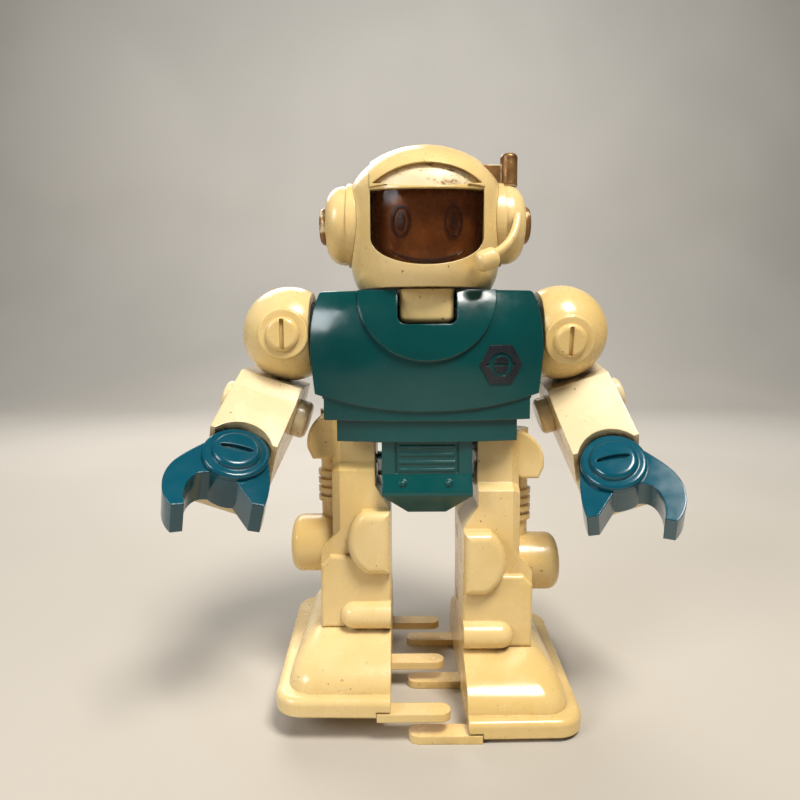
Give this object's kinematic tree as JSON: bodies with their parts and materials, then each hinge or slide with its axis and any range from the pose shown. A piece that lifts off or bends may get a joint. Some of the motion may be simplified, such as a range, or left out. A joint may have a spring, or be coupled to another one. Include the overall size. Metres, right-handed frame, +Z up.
{
  "type": "toy robot",
  "caption": "Walking toy robot with big tabbed feet, claw hands, round helmet with smiling visor and a moulded chest; crank-driven legs.",
  "frame": {"origin": "middle of the bounding box at floor level", "axes": "+Z up, the robot faces -Y, its left hand is +X"},
  "size_m": [0.1504, 0.0856, 0.1771],
  "materials": {
    "cream_plastic": "yellowed gloss",
    "teal_plastic": "gloss",
    "bronze_paint": "worn bronze paint",
    "amber_lens": "smoked amber",
    "face_gold": "gold lacquer",
    "face_dark": "dark print",
    "badge_black": "printed",
    "steel": "zinc plated",
    "zinc": "plated can",
    "cell_jacket": "foil jacket",
    "contact_metal": "nickel",
    "gear_white": "natural acetal",
    "brass": "turned",
    "black_plastic": "satin"
  },
  "bodies": {
    "torso": {"torso_front_shell": "teal_plastic", "torso_back_shell": "teal_plastic", "chest_badge": "badge_black", "neck_post": "cream_plastic", "aa_cells": "cell_jacket", "battery_contacts": "contact_metal", "torso_screws": "steel", "gearbox_plates": "gear_white", "gear_axles": "steel", "motor_can": "zinc"},
    "head": {"helmet_front_shell": "cream_plastic", "helmet_back_shell": "cream_plastic", "helmet_crown": "cream_plastic", "brow_band": "bronze_paint", "visor": "amber_lens", "face_plate": "face_gold", "face_marks": "face_dark", "ear_pod_left": "cream_plastic", "ear_pod_right": "cream_plastic", "ear_cap_left": "bronze_paint", "ear_cap_right": "bronze_paint", "antenna": "bronze_paint", "mic_boom": "cream_plastic", "head_screws": "steel"},
    "arm_left": {"shoulder_front_left": "cream_plastic", "shoulder_back_left": "cream_plastic", "shoulder_axle_left": "black_plastic", "forearm_top_left": "cream_plastic", "forearm_under_left": "cream_plastic", "elbow_pin_left": "cream_plastic", "hand_cap_left": "teal_plastic"},
    "arm_right": {"shoulder_front_right": "cream_plastic", "shoulder_back_right": "cream_plastic", "shoulder_axle_right": "black_plastic", "forearm_top_right": "cream_plastic", "forearm_under_right": "cream_plastic", "elbow_pin_right": "cream_plastic", "hand_cap_right": "teal_plastic"},
    "hand_left": {"hand_claw_left": "teal_plastic"},
    "hand_right": {"hand_claw_right": "teal_plastic"},
    "leg_left": {"leg_shell_left": "cream_plastic", "leg_inner_cover_left": "cream_plastic", "foot_shell_left": "cream_plastic", "foot_sole_left": "cream_plastic", "leg_screws_left": "steel"},
    "leg_right": {"leg_shell_right": "cream_plastic", "leg_inner_cover_right": "cream_plastic", "foot_shell_right": "cream_plastic", "foot_sole_right": "cream_plastic", "leg_screws_right": "steel"},
    "crank": {"crankshaft": "steel", "crank_gear": "gear_white"},
    "idler_crank": {"idler_crankshaft": "steel"},
    "gear_second": {"second_gear": "gear_white"},
    "gear_first": {"first_gear": "gear_white"},
    "rotor": {"motor_pinion": "brass"},
    "door": {"battery_door": "teal_plastic"},
    "switch": {"power_switch": "black_plastic"}
  },
  "joints": [
    {"name": "crank_spin", "type": "hinge", "parent": "torso", "child": "crank", "pos_m": [0, 0.0047, 0.085], "axis": [1, 0, 0], "continuous": true},
    {"name": "leg_left_walk", "type": "hinge", "parent": "crank", "child": "leg_left", "pos_m": [0.019, 0.0047, 0.0816], "axis": [1, 0, 0], "continuous": true},
    {"name": "leg_right_walk", "type": "hinge", "parent": "crank", "child": "leg_right", "pos_m": [-0.019, 0.0047, 0.0884], "axis": [1, 0, 0], "continuous": true},
    {"name": "idler_spin", "type": "hinge", "parent": "torso", "child": "idler_crank", "pos_m": [0, 0.0047, 0.074], "axis": [1, 0, 0], "continuous": true},
    {"name": "second_gear_spin", "type": "hinge", "parent": "torso", "child": "gear_second", "pos_m": [0.005, 0.0047, 0.0965], "axis": [1, 0, 0], "continuous": true},
    {"name": "first_gear_spin", "type": "hinge", "parent": "torso", "child": "gear_first", "pos_m": [0, 0.0047, 0.108], "axis": [1, 0, 0], "continuous": true},
    {"name": "rotor_spin", "type": "hinge", "parent": "torso", "child": "rotor", "pos_m": [-0.003, 0.0047, 0.119], "axis": [1, 0, 0], "continuous": true},
    {"name": "head_turn", "type": "hinge", "parent": "torso", "child": "head", "pos_m": [0, 0.0047, 0.134], "axis": [0, 0, 1], "range_deg": [-45, 45]},
    {"name": "arm_left_swing", "type": "hinge", "parent": "torso", "child": "arm_left", "pos_m": [0.0439, 0.0047, 0.1188], "axis": [1, 0, 0], "range_deg": [-160, 60]},
    {"name": "arm_right_swing", "type": "hinge", "parent": "torso", "child": "arm_right", "pos_m": [-0.0439, 0.0047, 0.1188], "axis": [1, 0, 0], "range_deg": [-160, 60]},
    {"name": "hand_left_turn", "type": "hinge", "parent": "arm_left", "child": "hand_left", "pos_m": [0.05634, -0.01524, 0.07754], "axis": [-0.2661, -0.6745, 0.6887], "range_deg": [-10, 10]},
    {"name": "hand_right_turn", "type": "hinge", "parent": "arm_right", "child": "hand_right", "pos_m": [-0.05634, -0.0221, 0.08163], "axis": [0.2661, -0.5446, 0.7953], "range_deg": [-10, 10]},
    {"name": "battery_door_pull", "type": "slide", "parent": "torso", "child": "door", "axis": [0, 1, 0], "range_m": [0, 0.03]},
    {"name": "power_switch_slide", "type": "slide", "parent": "torso", "child": "switch", "axis": [0, 0, 1], "range_m": [0, 0.004]}
  ],
  "couplings": [
    {"joint": "crank_spin", "follows": "leg_left_walk", "ratio": -1},
    {"joint": "leg_right_walk", "follows": "leg_left_walk", "ratio": 1},
    {"joint": "idler_spin", "follows": "leg_left_walk", "ratio": -1},
    {"joint": "second_gear_spin", "follows": "leg_left_walk", "ratio": 3.6},
    {"joint": "first_gear_spin", "follows": "leg_left_walk", "ratio": -12.96},
    {"joint": "rotor_spin", "follows": "leg_left_walk", "ratio": 58.32}
  ]
}
